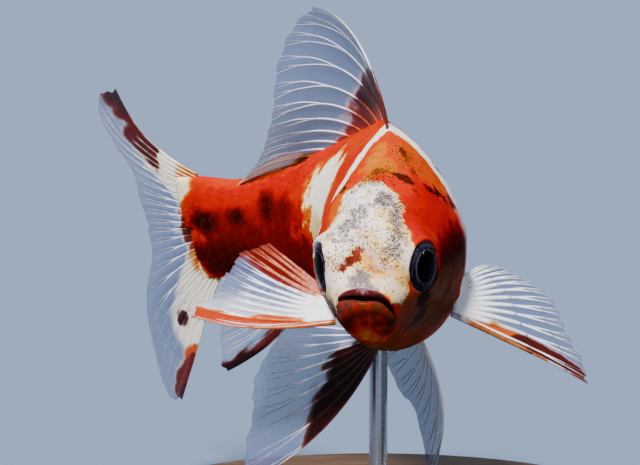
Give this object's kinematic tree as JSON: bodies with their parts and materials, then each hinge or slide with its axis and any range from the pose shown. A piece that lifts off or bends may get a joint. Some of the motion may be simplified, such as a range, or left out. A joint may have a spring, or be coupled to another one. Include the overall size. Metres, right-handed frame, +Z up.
{
  "type": "calico goldfish model on a stand",
  "caption": "Life-size still model of a calico goldfish swimming towards the viewer with its body bent and its long fins spread, held by a rod on a round base.",
  "frame": {"origin": "centre of the base's underside, on the rod's axis", "axes": "+Z up; the fish's head faces -Y and its left side is towards +X"},
  "size_m": [0.0851, 0.0901, 0.0808],
  "materials": {
    "head_skin": "wet, smooth painted skin, white with fine black speckles",
    "lip_skin": "wet, smooth painted skin, maroon and red-orange",
    "flank_skin": "wet painted skin with faint scales, calico of orange, white, red and black",
    "red_skin": "wet painted skin with faint scales, deep red with dark patches",
    "eye": "polished, black pupil in a dark iris with a thin light ring",
    "fin_membrane": "thin clear skin over white branched rays",
    "dark_fin": "thin skin over rays, dark brown at its leading edge",
    "stand_wood": "dark stained, satin",
    "stand_steel": "brushed"
  },
  "bodies": {
    "root": {"head": "head_skin", "lower_jaw": "lip_skin", "gill_cover_left": "flank_skin", "gill_cover_right": "flank_skin", "trunk": "flank_skin", "tail_stalk": "red_skin", "eye_left": "eye", "eye_right": "eye", "dorsal_fin": "fin_membrane", "tail_fin_upper": "fin_membrane", "tail_fin_lower": "fin_membrane", "pectoral_fin_left": "fin_membrane", "pectoral_fin_right": "fin_membrane", "pelvic_fin_left": "fin_membrane", "anal_fin": "dark_fin", "pelvic_fin_right": "dark_fin", "stand_base": "stand_wood", "stand_rod": "stand_steel", "stand_collar": "stand_steel"}
  },
  "joints": []
}
